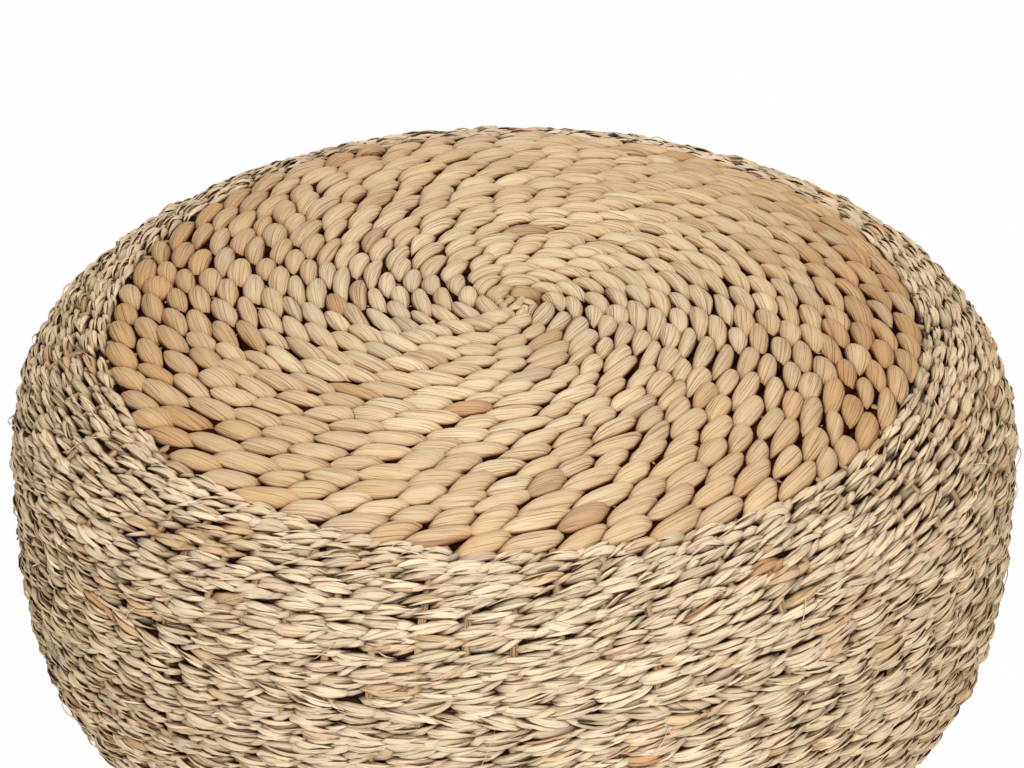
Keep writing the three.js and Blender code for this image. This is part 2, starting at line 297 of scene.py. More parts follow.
def meshObject(name, points, faces, uv, marks):
    # points (count, size, 3); faces index one copy. A mark is a colour or a number for each copy and
    # point, and an axis of one stands for all of them
    count, size = points.shape[:2]
    totals = np.array([len(f) for f in faces], np.int32)
    corners = np.concatenate([np.array(f) for f in faces]).astype(np.int64)
    allCorners = (corners[None, :] + size * np.arange(count)[:, None]).ravel().astype(np.int32)
    allTotals = np.tile(totals, count)
    starts = np.concatenate([[0], np.cumsum(allTotals)[:-1]]).astype(np.int32)
    mesh = bpy.data.meshes.new(name)
    mesh.vertices.add(count * size)
    mesh.vertices.foreach_set("co", points.reshape(-1).astype(np.float32))
    mesh.loops.add(len(allCorners))
    mesh.loops.foreach_set("vertex_index", allCorners)
    mesh.polygons.add(len(allTotals))
    mesh.polygons.foreach_set("loop_start", starts)
    mesh.polygons.foreach_set("loop_total", allTotals)
    mesh.polygons.foreach_set("use_smooth", np.full(len(allTotals), True))
    mesh.update(calc_edges=True)
    layer = mesh.uv_layers.new(name="strandMap")
    layer.data.foreach_set("uv", uv.reshape(-1, 2)[allCorners].reshape(-1).astype(np.float32))
    for key, values in marks.items():
        whole = np.broadcast_to(values, (count, size) + np.shape(values)[2:])
        if whole.ndim == 3:
            shade = mesh.color_attributes.new(key, "FLOAT_COLOR", "POINT")
            rgba = np.concatenate([whole.reshape(-1, 3), np.ones((count * size, 1))], 1)
            shade.data.foreach_set("color", rgba.reshape(-1).astype(np.float32))
        else:
            layer = mesh.attributes.new(key, "FLOAT", "POINT")
            layer.data.foreach_set("value", whole.reshape(-1).astype(np.float32))
    mesh.validate()
    return addObject(name, mesh)


def creaseAlong(made, blankPoints):
    # a folded blade keeps a crease along each of its lengthwise edges
    mesh = made.data
    ends = np.zeros(len(mesh.edges) * 2, np.int32)
    mesh.edges.foreach_get("vertices", ends)
    ends = blankPoints[ends.reshape(-1, 2) % len(blankPoints)][:, :, 1:]
    alike = np.abs(ends[:, 0] - ends[:, 1]).sum(-1) < 1e-3
    crease = mesh.attributes.new("sharp_edge", "BOOLEAN", "EDGE")
    crease.data.foreach_set("value", alike)


def linear(rgb):
    # from display values of 0 to 255 to what the shaders take
    rgb = np.asarray(rgb, float) / 255
    return np.where(rgb <= 0.04045, rgb / 12.92, ((rgb + 0.055) / 1.055) ** 2.4)


def power(base, exponent):
    return np.sign(base) * np.abs(base) ** exponent


strandForm = {
    "edge": 0.85, "crown": 0.75, "fullness": 2.4, "dive": 2.2,      # exponents, where a lay gives none
    "endThick": 0.4,         # share of its thickness that a strand keeps at its ends
    "endMap": 0.35,          # share of its width that the pattern keeps there
}


def patternShift(rng, count):
    # so that no two strands show the same piece of the pattern
    return {"shiftU": rng.uniform(0, 9, count), "shiftV": rng.uniform(0, 9, count)}


def layStrands(points, surface, lay):
    # one value per strand for each key: lengths in metres, reachShare and slide in stitch spacings
    a, b, c = (points[:, k][None, :] for k in range(3))
    endThick, endMap = strandForm["endThick"], strandForm["endMap"]

    def get(key):
        value = lay.get(key, strandForm.get(key, 0.0))
        return np.broadcast_to(np.asarray(value, float), lay["run"].shape)[:, None]

    u = a * get("reachShare") + get("slide") - get("shear") * b * np.sqrt(np.clip(1 - a ** 2, 0, 1))
    leaned = a - get("lean") * (1 - a ** 2)
    bulk = get("tip") + (1 - get("tip")) * (1 - np.abs(leaned) ** get("fullness"))
    halfWidth = get("width") * bulk
    halfThick = get("thick") * (endThick + (1 - endThick) * np.clip(1 - a ** 2, 0, 1))
    centre = -get("tilt") * u + get("offset") + get("bow") * (1 - a ** 2) + get("fan") * a
    depth = get("depth") + get("drop") * np.abs(a) ** get("dive") - get("nod") * a
    roll = get("roll") + get("spin") * a
    across = halfWidth * power(b, get("edge"))
    rise = halfThick * power(c, get("crown")) - get("curl") * (across / get("width")) ** 2
    rise = rise + get("fold") * b * (c > 0)
    side = across * np.cos(roll) - rise * np.sin(roll)
    up = across * np.sin(roll) + rise * np.cos(roll)
    along = u * get("spacing")
    turn = get("turn") + along / get("ringRadius")
    run = get("run") + centre + side + get("pitch") * along / get("ringRadius") / (2 * math.pi)
    placed = onSkin(surface, run, turn, depth - up)
    mapWidth = get("width") * b * (endMap + (1 - endMap) * bulk)
    uv = np.stack([along + get("shiftU"), mapWidth + get("shiftV")], -1)
    return placed, uv, depth - up, (a, b)


def ride(piece, material, slotName, nodes):
    piece.data.materials.append(material)
    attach(piece, "root")
    if nodes:
        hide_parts(*nodes)


def makePly(name, ply, lay, rng, *rest):
    # a plain ply of one tone, which closes the gaps behind the strands; its dark tone and darkening are
    # painted shade for those gaps
    count = len(lay["run"])
    shape, faces = strandBlank(ply["sides"], ply["cuts"])
    points, uv, depth, (a, b) = layStrands(shape, skin, {**ply, **lay, **patternShift(rng, count)})
    tint = (linear(ply["tone"]) * rng.normal(1, ply["toneJitter"], (count, 1)))[:, None, :]
    ride(meshObject(name, points, faces, uv, {"tint": tint, "wear": [[ply["wear"]]]}), *rest)


# materials
def skinMaterial(name, roughness):
    material = bpy.data.materials.new(name)
    material.use_nodes = True
    tree = material.node_tree
    shader = tree.nodes["Principled BSDF"]
    shader.inputs["Roughness"].default_value = roughness
    return material, tree, tree.links.new, shader


def addRelief(tree, shader, *layers):
    # pattern, strength and height of each layer, the coarsest first
    normal = None
    for pattern, strength, height in layers:
        bump = addNode(tree, "ShaderNodeBump", Strength=strength, Distance=height)
        tree.links.new(pattern, bump.inputs["Height"])
        if normal is not None:
            tree.links.new(normal, bump.inputs["Normal"])
        normal = bump.outputs["Normal"]
    tree.links.new(normal, shader.inputs["Normal"])


def strandMaterial(name, look):
    material, tree, link, shader = skinMaterial(name, look["roughness"])
    shader.inputs["Specular IOR Level"].default_value = look["specular"]
    tint, wear, brim = (
        addNode(tree, "ShaderNodeAttribute", attribute_name=key) for key in ("tint", "wear", "brim"))
    uvMap = addNode(tree, "ShaderNodeUVMap", uv_map="strandMap")

    def stretched(key, detail):
        mapping = addNode(tree, "ShaderNodeMapping", Scale=(look[key + "Along"], look[key + "Across"], 1))
        noise = addNode(tree, "ShaderNodeTexNoise", Scale=1.0, Detail=detail, Roughness=0.55, Distortion=0.4)
        link(uvMap.outputs["UV"], mapping.inputs["Vector"])
        link(mapping.outputs["Vector"], noise.inputs["Vector"])
        return noise.outputs["Fac"]

    fibre = stretched("fibre", 3)
    pleat = stretched("pleat", 2)
    mottle = stretched("mottle", 3)

    lines = tree.nodes.new("ShaderNodeValToRGB")
    for stop, key, level in zip(lines.color_ramp.elements, ("lineFrom", "lineTo"), (1, 0)):
        stop.position = look[key]
        stop.color = (level, level, level, 1)
    link(fibre, lines.inputs["Fac"])

    def darkened(color, amount, tone):
        mix = addNode(tree, "ShaderNodeMix", data_type="RGBA", blend_type="MULTIPLY")
        link(amount, mix.inputs[0])
        link(color, mix.inputs[6])
        mix.inputs[7].default_value = tone
        return mix.outputs[2]

    def ramped(value, low, high):
        ramp = addNode(tree, "ShaderNodeMapRange", From_Min=low, From_Max=high)
        link(value, ramp.inputs["Value"])
        return ramp.outputs[0]

    # painted shade: the colour darkens where ambient occlusion finds strands close around, in the crevices
    # where they meet
    crevice = addNode(tree, "ShaderNodeAmbientOcclusion", samples=4, Distance=look["creviceShadeReach"])
    color = tint.outputs["Color"]
    # the mottle and fibre lines are the strands' own colour; the dark edges, the darkening with depth and the
    # occlusion darkening are painted shade
    for key, share in (
            ("mottle", ramped(mottle, look["mottleFrom"], look["mottleFull"])),
            ("line", lines.outputs["Color"]),
            ("brim", ramped(brim.outputs["Fac"], look["brimFrom"], 1.0)),
            ("wear", wear.outputs["Fac"]),
            ("crevice", ramped(crevice.outputs["AO"], look["creviceShadeFrom"], look["creviceShadeFull"]))):
        color = darkened(color, scaled(tree, share, look[key + "Amount"]), look[key + "Tone"])
    link(color, shader.inputs["Base Color"])

    addRelief(tree, shader, (pleat, 1.0, look["pleatHeight"]), (fibre, 1.0, look["fibreHeight"]))
    return material


hyacinthLook = {
    "roughness": 0.6, "specular": 0.14,
    "fibreAlong": 24, "fibreAcross": 1950, "fibreHeight": 0.00035,
    "pleatAlong": 18, "pleatAcross": 800, "pleatHeight": 0.0012,
    "mottleAlong": 60, "mottleAcross": 160, "mottleFrom": 0.42, "mottleFull": 0.75,
    "mottleAmount": 0.35, "mottleTone": (0.84, 0.68, 0.50, 1),
    "lineFrom": 0.39, "lineTo": 0.45, "lineAmount": 0.75, "lineTone": (0.38, 0.25, 0.14, 1),
    # painted shade: the tones below darken the edges, the depths and the crevices of the strands
    "brimFrom": 0.86, "brimAmount": 0.9, "brimTone": (0.28, 0.14, 0.06, 1),
    "wearAmount": 1.0, "wearTone": (0.24, 0.10, 0.035, 1),
    "creviceShadeReach": 0.0042, "creviceShadeFrom": 0.74, "creviceShadeFull": 0.32, "creviceAmount": 1.0,
    "creviceTone": (0.18, 0.07, 0.022, 1),
}
seagrassLook = dict(
    hyacinthLook,
    roughness=0.65, specular=0.12,
    fibreAlong=40, fibreAcross=1500, fibreHeight=0.00025,
    pleatAlong=24, pleatAcross=700, pleatHeight=0.0006,
    mottleAlong=50, mottleAcross=200, mottleAmount=0.4, mottleTone=(0.80, 0.68, 0.52, 1),
    lineFrom=0.38, lineTo=0.45, lineAmount=0.6, lineTone=(0.48, 0.34, 0.21, 1),
    # painted shade: dark edges, depths and crevices, as for the hyacinth
    brimFrom=0.74, brimAmount=0.95, brimTone=(0.26, 0.14, 0.055, 1), wearTone=(0.09, 0.038, 0.012, 1),
    creviceShadeReach=0.0038, creviceShadeFrom=0.70, creviceShadeFull=0.22, creviceTone=(0.14, 0.055, 0.018, 1),
)
warpLook = dict(seagrassLook, lineAmount=0.85, lineTone=(0.22, 0.14, 0.08, 1))
hyacinthMaterial = strandMaterial("hyacinthSkin", hyacinthLook)
underMaterial = strandMaterial("hyacinthShade", dict(hyacinthLook, roughness=0.9, specular=0.02))
seagrassMaterial = strandMaterial("seagrassBlade", seagrassLook)
warpMaterial = strandMaterial("warpCord", warpLook)

# hyacinth spiral
spiral = {
    "startRadius": 0.0116, "innerPitch": 0.0115, "outerPitch": 0.0134, "edgeRadius": 0.2240,
    "endTurns": 17.28, "taperTurns": 0.11,
    "innerSpacing": 0.0165, "outerSpacing": 0.0228, "spacingJitter": 0.24,
    "halfWidth": 0.0069, "halfThick": 0.0020, "tilt": 0.0056, "curl": 0.0035, "shear": 0.15,
    "depth": 0.0021, "drop": 0.0100, "dive": 3.6, "reachShare": 0.80, "nod": 0.0007,
    "sides": 16, "cuts": 8, "seed": 11,
    "firstTurn": 0.10, "wideningTurn": 11.5, "wideningHalf": 2.5,
    "spreadFrom": 0.02, "spreadSpan": 0.08,      # radii over which the leaves grow longer
    "goldFrom": 0.10, "goldSpan": 0.11,          # and more golden
    "eye": 0.0057,           # from the first turn in to the knot
    "plainPitch": 0.01215,   # the row pitch at which the widths and the tilt here hold
    # a leaf darkens with depth, as painted shade
    "paintedShadeFrom": 0.0042, "paintedShadeSpan": 0.0030,      # depths over which a leaf darkens
    "bigShare": 0.05, "bigSizes": (1.12, 1.45), "foldedShare": 0.05,
    "pale": (221, 201, 164), "gold": (200, 163, 116), "deep": (190, 148, 100),
    "grey": (202, 182, 150), "rust": (150, 98, 64), "tipWarmth": (0.86, 0.68, 0.48),
    # tones that some leaves lean to: share of the leaves, the share added towards the rim at the left and
    # right, where it is painted shade, most of the tone
    "leanings": [("deep", 0.04, 0.16, 0.8), ("grey", 0.10, 0.0, 0.7), ("rust", 0.010, 0.0, 0.5)],
}


def plainRadius(turns):
    # the rows grow wider towards the rim, in the turns about the widening one
    half = spiral["wideningHalf"]
    past = turns - spiral["wideningTurn"]
    grown = (np.clip(past, -half, half) + half) ** 2 / (4 * half) + np.maximum(past - half, 0)
    return spiral["startRadius"] + spiral["innerPitch"] * turns + (
        spiral["outerPitch"] - spiral["innerPitch"]) * grown


def spiralRadius(turns, turn):
    # the outer rows shift a little, so that the last one runs along the rim and tapers off at its end
    past = (turn / (2 * math.pi) - spiral["endTurns"]) % 1.0
    taper = spiral["taperTurns"]
    last = spiral["endTurns"] - 1 + np.where(past < 1 - taper, past, (1 - taper) * (1 - past) / taper)
    edge = spiral["edgeRadius"]
    plain = plainRadius(turns)
    return plain * (1 + (edge / plainRadius(last + 0.5) - 1) * (plain / edge) ** 2)


def spiralCourse():
    # the middle of every leaf along the spiral: turn angle, ring radius, leaf spacing, row pitch, width share
    rng = np.random.default_rng(spiral["seed"])
    turns, places = spiral["firstTurn"], []
    while turns < spiral["endTurns"]:
        angle = 2 * math.pi * turns
        radius = float(spiralRadius(turns, angle))
        inner = radius - spiral["eye"]
        if turns > 1:
            inner = (radius + float(spiralRadius(turns - 1, angle))) / 2
        outer = (radius + float(spiralRadius(turns + 1, angle))) / 2
        pitch = outer - inner
        outer = min(outer, spiral["edgeRadius"])
        share = (outer - inner) / pitch
        if turns > spiral["endTurns"] - 0.5 and share < 0.3:
            break
        grown = np.clip((radius - spiral["spreadFrom"]) / spiral["spreadSpan"], 0, 1)
        spacing = spiral["innerSpacing"] + (spiral["outerSpacing"] - spiral["innerSpacing"]) * grown
        spacing *= 1 + spiral["spacingJitter"] * rng.uniform(-1, 1)
        step = spacing / radius / (2 * math.pi)
        places.append((2 * math.pi * (turns + step / 2), (inner + outer) / 2, spacing, pitch, share))
        turns += step
    return np.array(places)


def leafTints(turn, radius, rng):
    count = len(turn)
    outward = np.clip((radius - spiral["goldFrom"]) / spiral["goldSpan"], 0, 1)
    # painted shade: the leaves at the left and right are made more golden and a little darker, standing in
    # for the fibres' sheen that lights the front and back
    sideways = np.cos(turn) ** 2
    goldShare = np.clip(0.1 + outward * (0.36 + 0.54 * sideways) + rng.normal(0, 0.14, count), 0, 1)[:, None]
    tint = linear(spiral["pale"]) * (1 - goldShare) + linear(spiral["gold"]) * goldShare
    for tone, chance, more, most in spiral["leanings"]:
        share = (rng.random(count) < chance + more * outward * sideways)[:, None]
        share = share * rng.uniform(0.2, most, (count, 1))
        tint = tint * (1 - share) + linear(spiral[tone]) * share
    middle = np.clip(1 - radius / spiral["goldFrom"], 0, 1)[:, None]
    return tint * (1 - 0.08 * middle - 0.05 * sideways[:, None]) * rng.normal(1.0, 0.05, (count, 1))


def makeHyacinth():
    rng = np.random.default_rng(spiral["seed"])
    turn, radius, spacing, pitch, share = spiralCourse().T
    share = share * pitch / spiral["plainPitch"]
    count = len(turn)
    big = np.where(rng.random(count) < spiral["bigShare"], rng.uniform(*spiral["bigSizes"], count), 1.0)
    sideways = np.cos(turn) ** 4      # the weave is drawn tighter into ropes at the left and right

    def vary(spread, middle=1):
        return rng.normal(middle, spread, count)

    shape, faces = strandBlank(spiral["sides"], spiral["cuts"])
    lay = {
        "run": runAtRadius(radius), "turn": turn, "ringRadius": radius, "spacing": spacing,
        "pitch": pitch, "reachShare": spiral["reachShare"] + 0.05 * sideways,
        "width": spiral["halfWidth"] * share * big * (1 - 0.10 * sideways) * vary(0.08),
        "thick": spiral["halfThick"] * np.sqrt(share) * big * vary(0.08),
        "tilt": spiral["tilt"] * share * (1 - 0.2 * sideways) * vary(0.12),
        "curl": spiral["curl"],
        "tip": 0.04, "fullness": vary(0.22, 2.3) - 0.40 * sideways,
        "lean": vary(0.08, 0.03),
        "depth": spiral["depth"] + vary(0.0004, 0) - 0.002 * (big - 1),
        "drop": (spiral["drop"] - 0.0034 * sideways) * vary(0.08),
        "dive": spiral["dive"] - 1.4 * sideways,
        "nod": vary(spiral["nod"], 0),
        "shear": spiral["shear"] * (1 - 0.3 * sideways) * vary(0.3),
        "crown": 0.6, "edge": 0.8,
        "bow": vary(0.0005, 0), "roll": vary(0.13, 0),
        "spin": vary(0.16, 0), "slide": vary(0.03, 0),
        **patternShift(rng, count),
    }
    points, uv, depth, (a, b) = layStrands(shape, skin, lay)
    warm = (0.55 * np.abs(a) ** 3 + 0.35 * np.abs(b) ** 3)[..., None]
    tint = leafTints(turn, radius, rng)[:, None, :] * (1 - warm * (1 - np.array(spiral["tipWarmth"])))
    # a few leaves have one edge folded over, and it shows the rust of the inner side
    folded = (rng.random((count, 1)) < spiral["foldedShare"]) & (b * rng.choice([-1, 1], (count, 1)) > 0.6)
    tint = np.where(folded[..., None], 0.3 * tint + 0.7 * linear(spiral["rust"]), tint)
    # painted shade: a leaf darkens with its depth below the surface, and a little more at its tips
    wear = np.clip((depth - spiral["paintedShadeFrom"]) / spiral["paintedShadeSpan"], 0, 1)
    wear = wear + 0.15 * np.clip(np.abs(a) * 4 - 3, 0, 1)
    leaves = meshObject("hyacinthLeaves", points, faces, uv, {"tint": tint, "wear": wear, "brim": np.abs(b)})
    ride(leaves, hyacinthMaterial, "hyacinth", ["hyacinth_coil"])
    print("hyacinth leaves:", count)
    return turn, radius, spacing, pitch, share


# the ply that runs below the leaves and closes the crevices between them; its near-black tone is painted
# shade for the crevices
underPly = {
    "reachShare": 0.75, "width": 0.0066, "thick": 0.0013, "tip": 0.8, "depth": 0.0058, "drop": 0.0004,
    "sides": 6, "cuts": 3, "tone": (84, 54, 28), "toneJitter": 0.1, "wear": 0.9,
}


def makeUnderStrands(course):
    turn, radius, spacing, pitch, share = course
    makePly("hyacinthUnderStrands", underPly, {
        "run": runAtRadius(radius), "turn": turn + 0.5 * spacing / radius, "ringRadius": radius,
        "spacing": spacing, "pitch": pitch, "width": underPly["width"] * share,
    }, np.random.default_rng(spiral["seed"] + 1), underMaterial, "hyacinth", ["hyacinth_coil"])


knot = {
    "bits": 16, "reach": 0.0112, "seed": 5, "tone": (214, 192, 154), "sides": 8, "cuts": 5,
    "lengths": (0.0045, 0.0075), "widths": (0.0024, 0.0034), "thicks": (0.0012, 0.0018),
    "height": 0.2642, "fall": 0.002, "lifts": (-0.0008, 0.0004),
    "endSag": 0.0026, "edgeSag": 0.0010,
    "goldenAngle": 2.399,    # from one bit to the next
}


def makeKnot():
    rng = np.random.default_rng(knot["seed"])
    points, faces = strandBlank(knot["sides"], knot["cuts"])
    count = knot["bits"]
    a, b, c = (points[:, k] for k in range(3))
    bulk = 0.35 + 0.65 * np.clip(1 - a ** 2, 0, 1) ** 0.8
    sag = knot["endSag"] * a ** 2 + knot["edgeSag"] * b ** 2
    placed = np.zeros((count, len(points), 3))
    uv = np.zeros((count, len(points), 2))
    for i in range(count):
        away = knot["reach"] * math.sqrt((i + 0.5) / count)
        spot = knot["goldenAngle"] * i
        heading = spot + math.pi / 2 + rng.normal(0, 0.6)
        length, width, thick = (rng.uniform(*knot[key]) for key in ("lengths", "widths", "thicks"))
        x, y, z = a * length, b * width * bulk, c * thick * bulk - sag
        placed[i, :, 0] = away * math.cos(spot) + x * math.cos(heading) - y * math.sin(heading)
        placed[i, :, 1] = away * math.sin(spot) + x * math.sin(heading) + y * math.cos(heading)
        fall = knot["fall"] * (away / knot["reach"])
        placed[i, :, 2] = knot["height"] - fall + z + rng.uniform(*knot["lifts"])
        uv[i] = np.stack([x + i, y + 2 * i], -1)
    tint = (linear(knot["tone"]) * rng.normal(1, 0.12, (count, 1)))[:, None, :]
    # painted shade: each bit darkens towards its ends and on its underside
    wear = np.abs(a) ** 4 * 0.7 + (c < -0.2) * 0.5
    bits = meshObject("centreKnot", placed, faces, uv, {"tint": tint, "wear": wear, "brim": np.abs(b)})
    ride(bits, hyacinthMaterial, "hyacinth", ["centre_knot"])


course = makeHyacinth()
makeUnderStrands(course)
makeKnot()
print("hyacinth top made")

# seagrass rows
seagrass = {
    "pitch": 0.0071, "stitches": 72, "baseStitch": 0.0175, "baseLeast": 7,
    "wander": 0.00022, "againstTwist": 0.06,
    # each stitch: its round body, two ribbons and a strip that lie on it, and the steep crossing to the next
    "blades": [
        dict(share=1.0, width=0.0042, thick=0.0009, offset=0.0, spread=0.0003, depth=0.0018, reach=0.66,
             fan=0.0005, slide=0.0, steep=1.0, roll=0.14, spin=0.30, curl=0.0020),
        dict(share=0.85, width=0.0019, thick=0.0004, offset=0.0014, spread=0.0006, depth=0.0003, reach=0.58,
             fan=0.0013, slide=0.04, steep=1.3, roll=0.22, spin=0.50, curl=0.0004),
        dict(share=0.8, width=0.0017, thick=0.0004, offset=-0.0015, spread=0.0007, depth=0.0004, reach=0.55,
             fan=0.0013, slide=-0.06, steep=1.2, roll=0.25, spin=0.55, curl=0.0004),
        dict(share=0.4, width=0.0011, thick=0.0004, offset=0.0, spread=0.0016, depth=0.0001, reach=0.46,
             fan=0.0020, slide=0.1, steep=1.6, roll=0.30, spin=0.80, curl=0.0),
        dict(share=1.0, width=0.0027, thick=0.0010, offset=0.0, spread=0.0006, depth=0.0027, reach=0.44,
             fan=0.0010, slide=0.5, steep=1.6, roll=0.25, spin=0.40, curl=0.0006, crossing=0.0022),
    ],
    "tilt": 0.0034, "shear": 0.08, "drop": 0.0050, "dive": 2.3, "nod": 0.0004, "fold": 0.0004,
    "slimmer": 0.17,         # share of their width that blades lose at the left and right
    "lump": 0.0004, "tiltJitter": 0.0009, "depthJitter": 0.0002, "bow": 0.0004,
    "rollPerOffset": -180,   # radians of turn for each metre off the row's middle
    "sink": 0.0006, "sinkOffset": 0.0020,        # a blade that far off the middle lies that much deeper
    # blades darken with depth as painted shade, sooner at the left and right, whose tints are darker too
    "paintedShadeFrom": 0.0023, "paintedShadeEarlier": 0.0005, "paintedShadeSpan": 0.0028,
    "paintedSideShade": (0.01, 0.03, 0.10),
    "bands": 7, "sides": 6, "cuts": 4, "seed": 23,
    "straw": (218, 198, 168), "green": (207, 192, 158), "tan": (203, 174, 136),
    "pink": (212, 188, 160), "orange": (190, 150, 108),
}


def bladeTints(count, rng):
    pick = rng.random((count, 1))
    straw, green = linear(seagrass["straw"]), linear(seagrass["green"])
    tint = np.where(pick > 0.60, (straw + green) / 2, straw)
    for key, least in (("green", 0.80), ("tan", 0.88), ("pink", 0.97), ("orange", 0.996)):
        tint = np.where(pick > least, linear(seagrass[key]), tint)
    return tint * rng.normal(1.0, 0.07, (count, 1))


def rowDrift(turns, row):
    # a slow drift of a row up and down on its way round
    rng = np.random.default_rng(row + 1000)
    shift = np.zeros_like(turns)
    for waves in (3, 7, 12, 19):
        shift += rng.normal(0, seagrass["wander"]) * np.sin(waves * turns + rng.uniform(0, 2 * math.pi))
    return shift


def radiusAt(surface, run):
    return np.interp(run, surface["run"], surface["radius"])


def stitchCount(surface, ring):
    if surface is skin:
        return seagrass["stitches"]
    return max(seagrass["baseLeast"], int(round(2 * math.pi * ring / seagrass["baseStitch"])))


def rowBlades(surface, firstRun, rows, rng):
    # every blade of every stitch of a band of rows
    parts = []
    made = 0
    for row in rows:
        run = firstRun + seagrass["pitch"] * (row + 0.5)
        ring = float(radiusAt(surface, run))
        stitches = stitchCount(surface, ring)
        twist = -1 if rng.random() < seagrass["againstTwist"] else 1
        start = 0.5 * (row % 2) + rng.uniform(-0.3, 0.3)
        turns = 2 * math.pi * (np.arange(stitches) + start + 0.08 * rng.normal(size=stitches)) / stitches
        sideways = np.cos(turns) ** 2

        def vary(spread, middle=1):
            return rng.normal(middle, spread, stitches)

        size = vary(0.11) * (1 - seagrass["slimmer"] * sideways)
        height = vary(seagrass["lump"], 0) * (1 + 0.8 * sideways)
        flatter = 1 - 0.5 * sideways - 0.45 * np.clip(np.cos(turns), 0, 1) ** 2
        tilt = (twist * seagrass["tilt"] + vary(seagrass["tiltJitter"], 0)) * flatter
        drift = rowDrift(turns, row)
        for kind in seagrass["blades"]:
            kept = rng.random(stitches) < kind["share"]
            offset = twist * kind["offset"] + vary(kind["spread"], 0)
            crossing = twist * kind.get("crossing", 0.0) * flatter
            part = {
                "run": run + drift, "turn": turns + kind["slide"] * 2 * math.pi / stitches,
                "ringRadius": ring, "spacing": 2 * math.pi * ring / stitches,
                "tilt": tilt * kind["steep"] + crossing,
                "offset": offset, "thick": kind["thick"] * vary(0.12),
                "width": kind["width"] * size * vary(0.10),
                "depth": kind["depth"] - height + vary(seagrass["depthJitter"], 0),
                "reachShare": kind["reach"] * vary(0.07),
                "fan": vary(kind["fan"], 0),
                "roll": seagrass["rollPerOffset"] * offset + vary(kind["roll"], 0),
                "spin": vary(kind["spin"], 0), "curl": kind["curl"],
                "nod": twist * seagrass["nod"],
                "shear": twist * seagrass["shear"] * vary(0.3),
                "stitch": made + np.arange(stitches)}
            parts.append({key: np.broadcast_to(value, stitches)[kept] for key, value in part.items()})
        made += stitches
    lay = {key: np.concatenate([part[key] for part in parts]) for key in parts[0]}
    count = len(lay["run"])
    lay.update({
        "depth": lay["depth"] + seagrass["sink"] * (lay["offset"] / seagrass["sinkOffset"]) ** 2,
        "slide": rng.normal(0, 0.04, count), "bow": rng.normal(0, seagrass["bow"], count),
        "lean": rng.normal(0, 0.12, count), "drop": seagrass["drop"] * rng.normal(1, 0.10, count),
        "fullness": rng.uniform(1.6, 2.7, count), "tip": rng.uniform(0.05, 0.25, count),
        "crown": 0.8, "dive": seagrass["dive"], "fold": rng.normal(0, seagrass["fold"], count),
        **patternShift(rng, count),
    })
    return lay


def makeRows(name, surface, firstRun, rows, nodes, seed):
    rng = np.random.default_rng(seed)
    lay = rowBlades(surface, firstRun, rows, rng)
    shape, faces = strandBlank(seagrass["sides"], seagrass["cuts"])
    points, uv, depth, (a, b) = layStrands(shape, surface, lay)
    count = len(lay["run"])
    stitch = lay["stitch"].astype(int)
    ofStitch = bladeTints(stitch.max() + 1, rng)[stitch]
    own = bladeTints(count, rng)
    tint = np.where(rng.random((count, 1)) < 0.25, own, ofStitch * rng.normal(1, 0.05, (count, 1)))
    # painted shade: the blades at the left and right get darker tints, and every blade darkens with its
    # depth, sooner at the left and right
    sideways = np.cos(lay["turn"])[:, None] ** 2
    tint = tint * (1 - sideways * seagrass["paintedSideShade"])
    shadedDepth = depth - seagrass["paintedShadeFrom"] + seagrass["paintedShadeEarlier"] * sideways
    wear = np.clip(shadedDepth / seagrass["paintedShadeSpan"], 0, 1) * rng.uniform(0.85, 1.1, (count, 1))
    piece = meshObject(name, points, faces, uv, {"tint": tint[:, None, :], "wear": wear, "brim": np.abs(b)})
    creaseAlong(piece, shape)
    ride(piece, seagrassMaterial, "seagrass", nodes)
    print(name, "blades:", count)


# the ply of every row that passes behind the warp cords; its dark tone is painted shade for the gaps behind
# them
backPly = {
    "reachShare": 0.44, "width": 0.0041, "thick": 0.0009, "tip": 0.8, "depth": 0.0060,
    "sides": 6, "cuts": 1, "tone": (140, 104, 68), "toneJitter": 0.15, "wear": 0.97,
    "runJitter": 0.0004, "widthJitter": 0.08, "rollJitter": 0.2, "missing": 0.05,
}


def makeSeagrassUnder():
    rng = np.random.default_rng(seagrass["seed"] + 70)
    stitches = seagrass["stitches"]
    turns = 2 * math.pi * (np.arange(stitches) + 0.5) / stitches
    parts = []
    for row in range(rowCount):
        run = rimRun + seagrass["pitch"] * (row + 0.5)
        kept = rng.random(stitches) > backPly["missing"]
        ring = np.full(stitches, radiusAt(skin, run))
        parts.append(np.stack([run + rowDrift(turns, row), turns, ring], -1)[kept])
    run, turn, ring = np.concatenate(parts).T
    count = len(run)
    makePly("seagrassUnder", backPly, {
        "run": run + rng.normal(0, backPly["runJitter"], count), "turn": turn, "ringRadius": ring,
        "spacing": 2 * math.pi * ring / stitches,
        "width": backPly["width"] * rng.normal(1, backPly["widthJitter"], count),
        "roll": rng.normal(0, backPly["rollJitter"], count),
    }, rng, seagrassMaterial, "seagrass", ["side_weave"])
    print("strands behind the warp:", count)


rowCount = int(round((footRun - rimRun) / seagrass["pitch"]))
seagrass["pitch"] = (footRun - rimRun) / rowCount
bandEdges = np.linspace(0, rowCount, seagrass["bands"] + 1).round().astype(int)
for band in range(seagrass["bands"]):
    makeRows("seagrassRows%d" % (band + 1), skin, rimRun, range(bandEdges[band], bandEdges[band + 1]),
             ["side_weave"], seagrass["seed"] + band)
makeSeagrassUnder()
baseRows = int(footRadius / seagrass["pitch"]) - 1
makeRows("seagrassBase", baseSkin, 0.0, range(baseRows), ["base_weave"], seagrass["seed"] + 40)
print("seagrass rows:", rowCount, "and", baseRows, "in the base")

